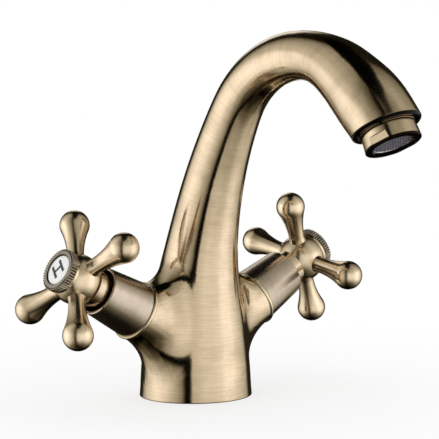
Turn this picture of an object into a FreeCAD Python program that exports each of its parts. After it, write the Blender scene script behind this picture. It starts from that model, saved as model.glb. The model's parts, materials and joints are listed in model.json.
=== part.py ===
"""Basin mixer tap with two cross handles: a one-piece cast body and arched spout, a quarter-turn
ceramic valve behind each handle, and a screw-in aerator in the outlet.

Frame: millimetres, origin in the middle of the base on the deck, +Z up, the spout towards -Y,
the hot valve on -X and the cold valve on +X.

Each valve, with its shroud and handle, is drawn upright in a frame of its own, where Z is the
valve's axis and height 0 is the point where both axes cross in the middle of the body.
The aerator is drawn the same way, with height 0 at the spout's end face and Z pointing out of it.
"""
import FreeCAD, Part

import math
import os

from FreeCAD import Placement, Rotation, Vector

# ---- body and spout ------------------------------------------------------------------------
BASE_R = 26.0              # foot of the body on the deck
BASE_EDGE_ROUND = 0.5
WAIST_TAPER = 1.1          # the body draws in this much from the foot to the waist
WAIST_UP = 16.0            # height of the waist along the centre line
CHEST_TAPER = 3.6          # and this much from the foot to the valve sockets
SHOULDER_R = 17.7          # a quarter of the way up the riser
RISER_R = 14.85            # half way up the riser
NECK_R = 11.5              # where the riser turns into the crown
CROWN_R = 10.7             # thinnest, at the top of the arch
BROW_R = 10.9              # three quarters of the way round the crown
CHEEK_R = 13.15            # where the crown turns into the nose
NOSE_R = 14.9              # half way down the nose
MOUTH_R = 15.1             # outlet end

PILLAR_BEND_R = 611.0      # centre line: four arcs that run on into each other
PILLAR_BEND_ANGLE = 3.45
RISER_BEND_R = 204.8
RISER_BEND_ANGLE = 28.05
CROWN_BEND_R = 49.75
CROWN_BEND_ANGLE = 91.6
NOSE_BEND_R = 110.6
NOSE_BEND_ANGLE = 17.5
OUTLET_TILT_ANGLE = 27.0   # the outlet faces this far forward of straight down
OUTLET_TILT_RUN = 14.0     # the sections lean over to that tilt within this length
MOUTH_ROUND = 1.2          # rounded rim of the spout's end

SPOUT_WALL = 2.7
WATERWAY_MAX_R = 11.0
WATERWAY_FLOOR = 38.5      # height of the bottom of the mixing chamber
CROSS_DRILLING_R = 4.5     # joins both valve sockets to the mixing chamber
CROSS_DRILLING_UP = 42.0
SECTION_STEP = 11.0        # spacing of the sections that the spout is drawn through

BASE_WALL = 5.0            # between the foot's outside and the hollow under the base
RECESS_DEPTH = 7.0
INLET_SPACING = 18.0       # between the two supply inlets
INLET_THREAD_R = 4.6       # core radius of an M10 x 1 thread
INLET_THREAD_DEPTH = 10.0
INLET_PASSAGE_R = 4.0
STUD_BACK = 13.0           # fixing stud behind the inlets
STUD_THREAD_R = 3.4        # core radius of an M8 thread
STUD_THREAD_DEPTH = 12.0
SEAL_WIDTH = 2.3           # rubber seal in the rim of the recess
SEAL_H = 2.1

# ---- valve sockets of the body -------------------------------------------------------------
VALVE_RISE_ANGLE = 27.4    # the valve axes climb outwards this steeply
VALVE_CROSSING_UP = 24.3   # height where the two valve axes cross
ARM_R = 13.3               # socket arm at its mouth
ARM_REACH = 15.3           # from the chest to the shoulder that the trim ring sits on
ARM_ROOT_DEPTH = 26.7      # the arm is drawn from here, inside the body, to the shoulder
ARM_ROOT_COVER = 0.3       # the rim of its root stays this far inside the chest
ARM_STRAIGHT = 2.0         # plain length before the shoulder
ARM_TOP_BLEND_R = 16.0     # rounding between arm and riser
ARM_UNDER_BLEND_R = 28.0   # rounding between arm and foot
SPIGOT_R = 11.8            # threaded nose that the shroud screws on to
SPIGOT_H = 4.0
SOCKET_R = 10.25           # thread core for the cartridge
SOCKET_DEPTH = 21.7        # from the shoulder to the valve seat
SEAT_BORE_R = 4.4

# ---- trim ring and shroud ------------------------------------------------------------------
TRIM_RING_R = 13.9
TRIM_RING_H = 2.0
SHROUD_FOOT_R = 13.0
SHROUD_MOUTH_R = 11.2
SHROUD_H = 22.4
SHROUD_WALL = 1.4
SHROUD_LIP_ROUND = 0.6
SHROUD_GRIP = 4.6          # threaded length inside the foot

# ---- valve cartridge -----------------------------------------------------------------------
SEAT_SEAL_H = 3.4
SEAT_SEAL_STANDS_OUT = 2.4
SEAT_SEAL_BORE_R = 4.7
CHAMBER_R = 7.0            # hollow of the barrel, with both discs in it
BARREL_R = 8.6
THREAD_H = 11.0            # threaded length in the socket
FACE_WASHER_H = 1.0
FACE_WASHER_R = 11.4
FLANGE_R = 10.9
FLANGE_H = 1.5
HEX_ACROSS_FLATS = 18.0
HEX_H = 4.5
GUIDE_R = 7.2
GUIDE_H = 7.5
WINDOW_W = 8.0             # side outlets for the water
WINDOW_H = 5.6
DISC_R = 6.85
FIXED_DISC_H = 3.0
MOVING_DISC_H = 2.8
PORT_OUTER_R = 5.1
PORT_INNER_R = 1.5
PORT_ANGLE = 76.0
DRIVE_SLOT_W = 2.4
DRIVE_SLOT_DEPTH = 1.2
DRIVE_SLOT_LENGTH = 1.6
THRUST_WASHER_H = 0.6

# ---- spindle -------------------------------------------------------------------------------
SPINDLE_R = 4.5
FOOT_H = 3.2
FOOT_ACROSS = 7.0
O_RING_GROOVE_R = 3.4
O_RING_GROOVE_H = 2.0
O_RING_FIRST_UP = 5.0      # above the bottom of the guide bore
O_RING_PITCH = 4.5
CLIP_GROOVE_R = 3.7
CLIP_R = 5.8
CLIP_H = 0.9
CLIP_GAP_ANGLE = 70.0
SPLINE_R = 4.0
SPLINE_ROOT_R = 3.6
SPLINE_TEETH = 20
SPLINE_H = 11.5
SCREW_R = 2.0
SCREW_REACH = 9.0
SCREW_END_ROOM = 1.0       # the hole is deeper than the screw

# ---- cross handle --------------------------------------------------------------------------
HANDLE_STAND_OFF = 12.9    # from the shroud's mouth to the plane of the four arms
HUB_R = 11.3
HUB_FACE_R = 9.3
HUB_FACE_UP = 7.5          # front face of the hub, above the plane of the arms
HUB_NECK_R = 8.3
HUB_NECK_DROP = 15.3       # rear end of the neck, below the plane of the arms
HANDLE_REACH = 29.9        # ball centres from the valve axis
BALL_R = 6.8
HANDLE_ARM_R = 3.8         # thinnest part of an arm
HANDLE_ARM_WAIST = 13.0    # distance of that part from the valve axis
HANDLE_ARM_ROOT_R = 4.7
HANDLE_ARM_ROOT = 8.5
HANDLE_ARM_COUNT = 4
HANDLE_ANGLE = {"hot": 33.9, "cold": 14.3}   # how the arms stand when the valves are closed
WEB_H = 2.4                # metal between the spline bore and the screw head
SCREW_HEAD_R = 3.7
SCREW_HEAD_H = 2.6
SCREW_SLOT_W = 1.0
SCREW_SLOT_DEPTH = 1.2
SCREW_WELL_R = 4.6

# ---- index cap -----------------------------------------------------------------------------
CAP_R = 9.5
CAP_H = 3.6
CAP_TEETH = 60
CAP_TOOTH_DEPTH = 0.35
CAP_BEZEL_H = 0.7          # plain front edge of the cap, without teeth
CAP_BEZEL_R = 8.7
CAP_THREAD_R = 7.0
CAP_THREAD_H = 3.0
CAP_THREAD_ROOM = 0.4      # the hub's bore is deeper than the cap's thread
CAP_BORE_R = 5.6
INDEX_R = 7.15             # white disc
INDEX_H = 1.5
INDEX_DOME = 0.35
INDEX_SUNK = 0.7           # its rim below the front of the cap

# ---- aerator -------------------------------------------------------------------------------
AERATOR_THREAD_R = 12.0    # M24 x 1
AERATOR_THREAD_H = 7.0
AERATOR_BORE_DEPTH = 9.0
AERATOR_NECK_R = 11.6      # just below the spout
AERATOR_R = 12.1           # at its lower end
AERATOR_H = 7.5
AERATOR_EDGE_ROUND = 0.4
AERATOR_FLATS = 22.4       # across the two spanner flats
AERATOR_FLAT_FROM = 3.4
AERATOR_ANGLE = -18.0      # how far the shell is turned in its thread when tight
MOUTH_GROOVE_R = 13.0      # dark groove round the aerator, in the end of the spout
MOUTH_GROOVE_DEPTH = 1.2
AERATOR_LIP_R = 9.0
AERATOR_LIP_H = 0.9
AERATOR_WALL = 1.4
SCREEN_H = 1.2
SCREEN_PITCH = 3.1
SCREEN_RIB = 0.5
STRAINER_H = 1.2
STRAINER_HOLE_R = 0.9
STRAINER_HOLE_COUNT = 8    # in each ring of holes
AERATOR_WASHER_H = 1.5
AERATOR_WASHER_LAP = 1.0   # the washer reaches inwards past the waterway's wall
INSERT_WALL = 1.6

# ---- fits ----------------------------------------------------------------------------------
THREAD_PLAY = 0.05         # radial, between two threads drawn plain
RUNNING_PLAY = 0.06        # radial, spindle in its guide
FACE_PLAY = 0.03           # between two flat faces, one of which turns
SEAL_PLAY = 0.05

# ---- worked out from the sizes above -------------------------------------------------------
WAIST_R = BASE_R - WAIST_TAPER
CHEST_R = BASE_R - CHEST_TAPER
RECESS_R = BASE_R - BASE_WALL

SHOULDER_UP = CHEST_R + ARM_REACH
ARM_ROOT_UP = SHOULDER_UP - ARM_ROOT_DEPTH
ARM_ROOT_OUT = ARM_ROOT_UP * math.cos(math.radians(VALVE_RISE_ANGLE))
ARM_ROOT_R = math.sqrt((CHEST_R - ARM_ROOT_COVER) ** 2 - ARM_ROOT_OUT**2)
SEAT_UP = SHOULDER_UP - SOCKET_DEPTH
SPIGOT_TOP = SHOULDER_UP + SPIGOT_H
TRIM_RING_TOP = SHOULDER_UP + TRIM_RING_H
SHROUD_TOP = TRIM_RING_TOP + SHROUD_H

BARREL_FOOT = SEAT_UP + SEAT_SEAL_STANDS_OUT
FIXED_DISC_FOOT = SEAT_UP + SEAT_SEAL_H
MOVING_DISC_FOOT = FIXED_DISC_FOOT + FIXED_DISC_H + FACE_PLAY
FOOT_UNDERSIDE = MOVING_DISC_FOOT + MOVING_DISC_H
FOOT_TOP = FOOT_UNDERSIDE + FOOT_H
THRUST_WASHER_FOOT = FOOT_TOP + FACE_PLAY
CHAMBER_TOP = THRUST_WASHER_FOOT + THRUST_WASHER_H
THREAD_FOOT = SPIGOT_TOP - THREAD_H
FLANGE_FOOT = SPIGOT_TOP + FACE_WASHER_H
HEX_FOOT = FLANGE_FOOT + FLANGE_H
GUIDE_FOOT = HEX_FOOT + HEX_H
GUIDE_TOP = GUIDE_FOOT + GUIDE_H
GUIDE_BORE_R = SPINDLE_R + RUNNING_PLAY

HANDLE_UP = SHROUD_TOP + HANDLE_STAND_OFF
NECK_END = HANDLE_UP - HUB_NECK_DROP
HUB_FACE = HANDLE_UP + HUB_FACE_UP
SPINDLE_TOP = NECK_END + SPLINE_H
WEB_TOP = SPINDLE_TOP + WEB_H
CAP_FRONT = HUB_FACE + CAP_H

SIDES = {"hot": -1, "cold": 1}
UP = Vector(0, 0, 1)
SAME_PLACE = 0.01          # edges are picked by their place to within this


# ---- drawing helpers -----------------------------------------------------------------------
def cylinder(radius, low, high, x=0.0, y=0.0):
    """An upright cylinder from height low to height high."""
    return Part.makeCylinder(radius, high - low, Vector(x, y, low))


def ring(outer_r, inner_r, low, high):
    """An upright plain ring."""
    return cylinder(outer_r, low, high).cut(cylinder(inner_r, low, high))


def turned(profile, start=0, sweep=360):
    """Turns a closed outline round Z, from the angle start and through the angle sweep. Its
    points are (radius, height). A point with a third entry lies on an arc, half way between
    the points before and after it."""
    edges = []
    count = len(profile)
    place = [Vector(p[0], 0, p[1]) for p in profile]
    for i in range(count):
        after = (i + 1) % count
        if len(profile[i]) == 3:
            edges.append(Part.Arc(place[i - 1], place[i], place[after]).toShape())
        elif len(profile[after]) == 2:
            edges.append(Part.LineSegment(place[i], place[after]).toShape())
    face = Part.Face(Part.Wire(Part.__sortEdges__(edges)))
    face.rotate(Vector(), UP, start)
    return face.revolve(Vector(), UP, sweep)


def on_circle(centre, radius, degrees):
    """(radius, height) of a point on a circle of an outline, counted from the radial direction."""
    angle = math.radians(degrees)
    return centre[0] + radius * math.cos(angle), centre[1] + radius * math.sin(angle)


def toothed(outer_r, root_r, teeth, low, high):
    """An upright column with V-shaped teeth round it."""
    corners = []
    for i in range(2 * teeth):
        radius = outer_r if i % 2 == 0 else root_r
        angle = math.pi * i / teeth
        corners.append(Vector(radius * math.cos(angle), radius * math.sin(angle), low))
    face = Part.Face(Part.makePolygon(corners + corners[:1]))
    return face.extrude(UP * (high - low))


def hexagon(across_flats, low, high, x=0.0, y=0.0):
    """An upright six-sided column."""
    corner_r = across_flats / math.sqrt(3)
    angles = [math.radians(60 * i) for i in range(6)]
    corners = [Vector(x + corner_r * math.cos(a), y + corner_r * math.sin(a), low) for a in angles]
    face = Part.Face(Part.makePolygon(corners + corners[:1]))
    return face.extrude(UP * (high - low))


def box_round_axis(length, width, low, high, centre=0.0):
    """An upright box, length along X and width along Y, with its middle at X = centre."""
    corner = Vector(centre - length / 2, -width / 2, low)
    return Part.makeBox(length, width, high - low, corner)


def fused(shapes):
    """One solid out of several that overlap."""
    return shapes[0].fuse(shapes[1:]).removeSplitter()


def cut_all(shape, tools):
    """The shape with every tool taken out of it."""
    for tool in tools:
        shape = shape.cut(tool)
    return shape


# ---- the spout's centre line ---------------------------------------------------------------
def centre_line_arcs():
    """(bend radius, turn in degrees) of each arc, from the deck to the outlet."""
    return [
        (PILLAR_BEND_R, PILLAR_BEND_ANGLE),
        (RISER_BEND_R, RISER_BEND_ANGLE),
        (CROWN_BEND_R, CROWN_BEND_ANGLE),
        (NOSE_BEND_R, NOSE_BEND_ANGLE),
    ]


def arc_lengths():
    """Length of each arc of the centre line."""
    return [radius * math.radians(turn) for radius, turn in centre_line_arcs()]


def centre_line(distance):
    """The point that far along the centre line, and the heading there, in degrees from upright."""
    point = Vector()
    heading = 0.0
    left = distance
    for (radius, turn), length in zip(centre_line_arcs(), arc_lengths()):
        part_turn = turn * min(left, length) / length
        start = math.radians(heading)
        heading += part_turn
        end = math.radians(heading)
        forward = radius * (math.cos(start) - math.cos(end))
        upward = radius * (math.sin(end) - math.sin(start))
        point += Vector(0, -forward, upward)
        left -= min(left, length)
        if left <= 0:
            break
    return point, heading


def body_stations():
    """(distance along the centre line, radius) where the body's radius is set."""
    pillar, riser, crown, nose = arc_lengths()
    return [
        (0.0, BASE_R),
        (WAIST_UP, WAIST_R),
        (pillar, CHEST_R),
        (pillar + riser / 4, SHOULDER_R),
        (pillar + riser / 2, RISER_R),
        (pillar + riser, NECK_R),
        (pillar + riser + crown / 2, CROWN_R),
        (pillar + riser + crown * 3 / 4, BROW_R),
        (pillar + riser + crown, CHEEK_R),
        (pillar + riser + crown + nose / 2, NOSE_R),
        (pillar + riser + crown + nose, MOUTH_R),
    ]


def body_radius(distance):
    """The body's radius that far along the centre line, on a smooth curve through the stations."""
    stations = body_stations()
    last = len(stations) - 1
    slopes = []
    for i in range(last + 1):
        before, after = stations[max(i - 1, 0)], stations[min(i + 1, last)]
        slopes.append((after[1] - before[1]) / (after[0] - before[0]))
    i = max(k for k in range(last) if stations[k][0] <= distance or k == 0)
    (from_s, from_r), (to_s, to_r) = stations[i], stations[i + 1]
    span = to_s - from_s
    u = min((distance - from_s) / span, 1.0)
    start_share = 2 * u**3 - 3 * u**2 + 1
    start_slope = u**3 - 2 * u**2 + u
    end_slope = u**3 - u**2
    return (
        start_share * from_r
        + (1 - start_share) * to_r
        + span * (start_slope * slopes[i] + end_slope * slopes[i + 1])
    )


def section_frame(distance):
    """Placement of a cross-section: square to the centre line, but leaning over near the end so
    that the last one lies in the outlet's plane. Its X points to the back of the tap."""
    point, heading = centre_line(distance)
    total = sum(arc_lengths())
    end_heading = sum(turn for _, turn in centre_line_arcs())
    lean = max(0.0, 1 - (total - distance) / OUTLET_TILT_RUN)
    heading += lean * (180 - OUTLET_TILT_ANGLE - end_heading)
    return Placement(point, Rotation(Vector(1, 0, 0), heading).multiply(Rotation(UP, 90)))


def round_section(distance, radius):
    """A circular cross-section of the body."""
    circle = Part.Wire(Part.makeCircle(radius))
    circle.Placement = section_frame(distance)
    return circle


def spout_loft(start, radius_at):
    """A solid along the centre line, from the distance start to the outlet."""
    total = sum(arc_lengths())
    count = max(2, round((total - start) / SECTION_STEP))
    distances = [start + (total - start) * i / count for i in range(count + 1)]
    return Part.makeLoft([round_section(d, radius_at(d)) for d in distances], True)


def waterway_radius(distance):
    """Inner radius of the spout."""
    return min(body_radius(distance) - SPOUT_WALL, WATERWAY_MAX_R)


# ---- frames of the sub-assemblies ----------------------------------------------------------
def on_valve(side, shape, turn=0.0):
    """Puts a shape drawn upright on a valve's axis, turned first by so many degrees."""
    lean = SIDES[side] * (90 - VALVE_RISE_ANGLE)
    rotation = Rotation(Vector(0, 1, 0), lean).multiply(Rotation(UP, turn))
    shape = shape.copy()
    shape.Placement = Placement(Vector(0, 0, VALVE_CROSSING_UP), rotation).multiply(shape.Placement)
    return shape


def at_outlet(shape):
    """Puts a shape drawn upright at the outlet, its Z pointing out of the spout."""
    shape = shape.copy()
    shape.Placement = section_frame(sum(arc_lengths())).multiply(shape.Placement)
    return shape


# ---- body ----------------------------------------------------------------------------------
def socket_arm(start):
    """Half of the outside of a valve socket: a trumpet that narrows to the shoulder, then the
    spigot. It is drawn in halves so that the blend can grow from the top to the underside."""
    flare_end = SHOULDER_UP - ARM_STRAIGHT
    run = flare_end - ARM_ROOT_UP
    rise = ARM_ROOT_R - ARM_R
    flare_r = (run**2 + rise**2) / (2 * rise)
    half_sweep = math.degrees(math.asin(run / flare_r)) / 2
    middle = on_circle((ARM_R + flare_r, flare_end), flare_r, 180 + half_sweep)
    return turned([
        (0, ARM_ROOT_UP),
        (ARM_ROOT_R, ARM_ROOT_UP),
        (*middle, "arc"),
        (ARM_R, flare_end),
        (ARM_R, SHOULDER_UP),
        (SPIGOT_R, SHOULDER_UP),
        (SPIGOT_R, SPIGOT_TOP),
        (0, SPIGOT_TOP),
    ], start, 180)


def blended(shape, trunk, arms):
    """Rounds the line where each arm meets the trunk, more and more towards the underside. The
    line's half that runs down sets the rounding, and the other half mirrors it."""
    downward = []
    for edge in shape.Edges:
        start, end = edge.valueAt(edge.FirstParameter), edge.valueAt(edge.LastParameter)
        middle = Part.Vertex(edge.valueAt((edge.FirstParameter + edge.LastParameter) / 2))
        on_trunk = trunk.Shells[0].distToShape(middle)[0] < SAME_PLACE
        on_arm = any(arm.Shells[0].distToShape(middle)[0] < SAME_PLACE for arm in arms)
        if on_trunk and on_arm and end.z < start.z:
            downward.append(edge)
    return shape.makeFillet(ARM_TOP_BLEND_R, ARM_UNDER_BLEND_R, downward)


def body_outside():
    """The casting before it is hollowed out."""
    trunk = spout_loft(0.0, body_radius)
    mouth = section_frame(sum(arc_lengths())).Base
    for middle, radius in ((Vector(), BASE_EDGE_ROUND), (mouth, MOUTH_ROUND)):
        rim = [e for e in trunk.Edges if (e.CenterOfMass - middle).Length < SAME_PLACE]
        trunk = trunk.makeFillet(radius, rim)
    arms = [on_valve(side, socket_arm(start)) for side in SIDES for start in (0, 180)]
    return blended(trunk.fuse(arms), trunk, arms)


def socket_drillings(side):
    """The valve socket and the drilling that feeds it from the inlet under the base."""
    rise = math.radians(VALVE_RISE_ANGLE)
    above_inlet = INLET_SPACING / 2 / math.cos(rise)
    bore = cylinder(SOCKET_R, SEAT_UP, SPIGOT_TOP)
    feed = cylinder(SEAT_BORE_R, above_inlet - SEAT_BORE_R, SEAT_UP)
    inlet_x = SIDES[side] * INLET_SPACING / 2
    feed_up = VALVE_CROSSING_UP + above_inlet * math.sin(rise)
    thread_top = RECESS_DEPTH + INLET_THREAD_DEPTH
    return [
        on_valve(side, bore),
        on_valve(side, feed),
        cylinder(INLET_THREAD_R, RECESS_DEPTH, thread_top, inlet_x),
        cylinder(INLET_PASSAGE_R, thread_top, feed_up, inlet_x),
    ]


def make_body():
    """Casting: base, both valve sockets and the spout, with its waterways and threads' bores."""
    waterway = spout_loft(WATERWAY_FLOOR, waterway_radius)
    cross = Part.makeCylinder(
        CROSS_DRILLING_R,
        2 * SEAT_UP,
        Vector(-SEAT_UP, 0, CROSS_DRILLING_UP),
        Vector(1, 0, 0),
    )
    outlet = at_outlet(cylinder(AERATOR_THREAD_R + THREAD_PLAY, -AERATOR_BORE_DEPTH, 0))
    groove = at_outlet(cylinder(MOUTH_GROOVE_R, -MOUTH_GROOVE_DEPTH, 0))
    recess = cylinder(RECESS_R, 0, RECESS_DEPTH)
    rebate = cylinder(RECESS_R + SEAL_WIDTH, 0, SEAL_H)
    stud = cylinder(STUD_THREAD_R, RECESS_DEPTH, RECESS_DEPTH + STUD_THREAD_DEPTH, 0, STUD_BACK)
    drillings = [tool for side in SIDES for tool in socket_drillings(side)]
    hollows = [waterway, cross, outlet, groove, recess, rebate, stud]
    return cut_all(body_outside(), hollows + drillings)


def make_base_seal():
    """Rubber ring in the rim of the base."""
    return ring(RECESS_R + SEAL_WIDTH - SEAL_PLAY, RECESS_R - SEAL_PLAY, 0, SEAL_H - SEAL_PLAY)


# ---- valve ---------------------------------------------------------------------------------
def make_trim_ring():
    """Bright ring between the body's shoulder and the shroud."""
    inner_r = SPIGOT_R + THREAD_PLAY
    half = TRIM_RING_H / 2
    crown = TRIM_RING_R - half / 2
    return turned([
        (inner_r, SHOULDER_UP),
        (crown, SHOULDER_UP),
        (TRIM_RING_R, SHOULDER_UP + half, "arc"),
        (crown, TRIM_RING_TOP),
        (inner_r, TRIM_RING_TOP),
    ])


def make_shroud():
    """Tapered sleeve that hides the cartridge, screwed on to the spigot."""
    grip_r = SPIGOT_R + THREAD_PLAY
    grip_top = TRIM_RING_TOP + SHROUD_GRIP
    taper = (SHROUD_FOOT_R - SHROUD_MOUTH_R) / SHROUD_H
    inner_at_grip = SHROUD_FOOT_R - taper * SHROUD_GRIP - SHROUD_WALL
    mouth_inner = SHROUD_MOUTH_R - SHROUD_WALL
    sleeve = turned([
        (grip_r, TRIM_RING_TOP),
        (SHROUD_FOOT_R, TRIM_RING_TOP),
        (SHROUD_MOUTH_R, SHROUD_TOP),
        (mouth_inner, SHROUD_TOP),
        (min(inner_at_grip, grip_r), grip_top),
        (grip_r, grip_top),
    ])
    lip = [e for e in sleeve.Edges if e.BoundBox.ZMin > SHROUD_TOP - SAME_PLACE and e.Closed]
    return sleeve.makeFillet(SHROUD_LIP_ROUND, lip)


def make_cartridge():
    """Brass headwork: barrel with two windows, thread, flange, hexagon and spindle guide."""
    outside = fused([
        cylinder(BARREL_R, BARREL_FOOT, THREAD_FOOT),
        cylinder(SOCKET_R - THREAD_PLAY, THREAD_FOOT, FLANGE_FOOT),
        cylinder(FLANGE_R, FLANGE_FOOT, HEX_FOOT),
        hexagon(HEX_ACROSS_FLATS, HEX_FOOT, GUIDE_FOOT),
        cylinder(GUIDE_R, GUIDE_FOOT, GUIDE_TOP),
    ])
    window_foot = MOVING_DISC_FOOT + MOVING_DISC_H / 2
    return cut_all(outside, [
        cylinder(CHAMBER_R, BARREL_FOOT, CHAMBER_TOP),
        cylinder(GUIDE_BORE_R, CHAMBER_TOP, GUIDE_TOP),
        box_round_axis(3 * BARREL_R, WINDOW_W, window_foot, window_foot + WINDOW_H),
    ])


def make_face_washer():
    """Fibre washer under the cartridge's flange."""
    return ring(FACE_WASHER_R, SOCKET_R, SPIGOT_TOP, FLANGE_FOOT)


def make_seat_seal():
    """Rubber ring between the fixed disc and the valve seat."""
    return ring(CHAMBER_R - SEAL_PLAY, SEAT_SEAL_BORE_R, SEAT_UP, FIXED_DISC_FOOT)


def ported_disc(low, high, first_angle):
    """Ceramic disc with two opposite ports."""
    port = Part.Face(Part.makePolygon([
        Vector(PORT_INNER_R, 0, low),
        Vector(PORT_OUTER_R, 0, low),
        Vector(PORT_OUTER_R, 0, high),
        Vector(PORT_INNER_R, 0, high),
        Vector(PORT_INNER_R, 0, low),
    ])).revolve(Vector(), UP, PORT_ANGLE)
    disc = cylinder(DISC_R, low, high)
    for opposite in (0, 180):
        tool = port.copy()
        tool.rotate(Vector(), UP, first_angle + opposite - PORT_ANGLE / 2)
        disc = disc.cut(tool)
    return disc


def make_fixed_disc():
    """Ceramic disc that stands still in the cartridge."""
    return ported_disc(FIXED_DISC_FOOT, FIXED_DISC_FOOT + FIXED_DISC_H, 0)


def drive_lugs(play):
    """The two keys that join the spindle's foot to the moving disc, drawn with some play."""
    low = FOOT_UNDERSIDE - DRIVE_SLOT_DEPTH + play
    centre = DISC_R - DRIVE_SLOT_LENGTH / 2
    length = DRIVE_SLOT_LENGTH - 2 * play
    width = DRIVE_SLOT_W - 2 * play
    return [
        box_round_axis(length, width, low, FOOT_UNDERSIDE, centre * way).common(
            cylinder(DISC_R - play, low, FOOT_UNDERSIDE)
        )
        for way in (-1, 1)
    ]


def make_moving_disc():
    """Ceramic disc that turns with the spindle, its ports a quarter turn off when closed."""
    disc = ported_disc(MOVING_DISC_FOOT, FOOT_UNDERSIDE, 90)
    return cut_all(disc, drive_lugs(0.0))


def make_thrust_washer():
    """Low-friction washer that lies against the top of the chamber, over the spindle's foot."""
    return ring(CHAMBER_R - SEAL_PLAY, GUIDE_BORE_R, THRUST_WASHER_FOOT, CHAMBER_TOP)


def o_ring_heights():
    """Bottom of each O-ring groove."""
    first = CHAMBER_TOP + O_RING_FIRST_UP
    return [first, first + O_RING_PITCH]


def make_spindle():
    """Spindle: foot that drives the moving disc, sealed shaft, clip groove and splined end."""
    foot = cylinder(DISC_R - SEAL_PLAY, FOOT_UNDERSIDE, FOOT_TOP).common(
        box_round_axis(2 * DISC_R, FOOT_ACROSS, FOOT_UNDERSIDE, FOOT_TOP)
    )
    shaft = cylinder(SPINDLE_R, FOOT_UNDERSIDE, NECK_END)
    spline = toothed(SPLINE_R, SPLINE_ROOT_R, SPLINE_TEETH, NECK_END, SPINDLE_TOP)
    whole = fused([foot, shaft, spline] + drive_lugs(SEAL_PLAY))
    grooves = [
        ring(DISC_R, O_RING_GROOVE_R, low, low + O_RING_GROOVE_H) for low in o_ring_heights()
    ]
    clip_groove = ring(DISC_R, CLIP_GROOVE_R, GUIDE_TOP, GUIDE_TOP + CLIP_H + SEAL_PLAY)
    hole_foot = SPINDLE_TOP - SCREW_REACH - SCREW_END_ROOM
    screw_hole = cylinder(SCREW_R + THREAD_PLAY, hole_foot, SPINDLE_TOP)
    return cut_all(whole, grooves + [clip_groove, screw_hole])


def make_o_rings():
    """The two O-rings of a spindle, squeezed in their grooves."""
    outer_r = SPINDLE_R + RUNNING_PLAY / 2
    inner_r = O_RING_GROOVE_R + RUNNING_PLAY / 2
    rings = [
        ring(outer_r, inner_r, low + SEAL_PLAY, low + O_RING_GROOVE_H - SEAL_PLAY)
        for low in o_ring_heights()
    ]
    return Part.makeCompound(rings)


def make_clip():
    """Spring clip that keeps the spindle in the cartridge."""
    low = GUIDE_TOP + SEAL_PLAY
    clip = ring(CLIP_R, CLIP_GROOVE_R + SEAL_PLAY, low, low + CLIP_H - SEAL_PLAY)
    reach = 2 * CLIP_R
    half = reach * math.tan(math.radians(CLIP_GAP_ANGLE / 2))
    wedge = Part.Face(Part.makePolygon([
        Vector(0, 0, low),
        Vector(reach, half, low),
        Vector(reach, -half, low),
        Vector(0, 0, low),
    ])).extrude(UP * CLIP_H)
    return clip.cut(wedge)


# ---- handle --------------------------------------------------------------------------------
def hub():
    """Turned middle of the handle: neck, ball and front face."""
    neck_rise = math.degrees(math.acos(HUB_NECK_R / HUB_R))
    face_rise = math.degrees(math.acos(HUB_FACE_R / HUB_R))
    centre = (0, HANDLE_UP)
    return turned([
        (0, NECK_END),
        (HUB_NECK_R, NECK_END),
        on_circle(centre, HUB_R, -neck_rise),
        (*on_circle(centre, HUB_R, (face_rise - neck_rise) / 2), "arc"),
        on_circle(centre, HUB_R, face_rise),
        (HUB_FACE_R, HUB_FACE),
        (0, HUB_FACE),
    ])


def handle_arm():
    """One arm with its ball end, turned round Z and starting inside the hub."""
    waist = (HANDLE_ARM_R, HANDLE_ARM_WAIST)
    run = HANDLE_REACH - HANDLE_ARM_WAIST
    # the long hollow arc is tangent to the waist and to the ball
    hollow_r = (run**2 + HANDLE_ARM_R**2 - BALL_R**2) / (2 * (BALL_R - HANDLE_ARM_R))
    hollow_centre = (HANDLE_ARM_R + hollow_r, HANDLE_ARM_WAIST)
    meets = math.degrees(math.atan2(run, HANDLE_ARM_R + hollow_r))
    ball = (0, HANDLE_REACH)
    root = (HANDLE_ARM_ROOT_R, HANDLE_ARM_ROOT)
    root_run = HANDLE_ARM_WAIST - HANDLE_ARM_ROOT
    root_rise = HANDLE_ARM_ROOT_R - HANDLE_ARM_R
    root_arc_r = (root_run**2 + root_rise**2) / (2 * root_rise)
    root_half = math.degrees(math.asin(root_run / root_arc_r)) / 2
    root_centre = (HANDLE_ARM_R + root_arc_r, HANDLE_ARM_WAIST)
    return turned([
        (0, HANDLE_ARM_ROOT),
        root,
        (*on_circle(root_centre, root_arc_r, 180 + root_half), "arc"),
        waist,
        (*on_circle(hollow_centre, hollow_r, 180 - meets / 2), "arc"),
        on_circle(ball, BALL_R, -meets),
        (*on_circle(ball, BALL_R, (90 - meets) / 2), "arc"),
        (0, HANDLE_REACH + BALL_R),
    ])


def make_handle():
    """Cross handle: hub and four ball-ended arms in one casting."""
    arms = []
    for i in range(HANDLE_ARM_COUNT):
        arm = handle_arm()
        arm.rotate(Vector(), Vector(0, 1, 0), 90)
        arm.rotate(Vector(), UP, 360 / HANDLE_ARM_COUNT * i)
        arm.translate(Vector(0, 0, HANDLE_UP))
        arms.append(arm)
    whole = hub().fuse(arms)
    cap_bore_foot = HUB_FACE - CAP_THREAD_H - CAP_THREAD_ROOM
    return cut_all(whole, [
        cylinder(SPLINE_R + THREAD_PLAY, NECK_END, SPINDLE_TOP),
        cylinder(SCREW_R + 2 * THREAD_PLAY, SPINDLE_TOP, WEB_TOP),
        cylinder(SCREW_WELL_R, WEB_TOP, cap_bore_foot),
        cylinder(CAP_THREAD_R + THREAD_PLAY, cap_bore_foot, HUB_FACE),
    ])


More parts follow.
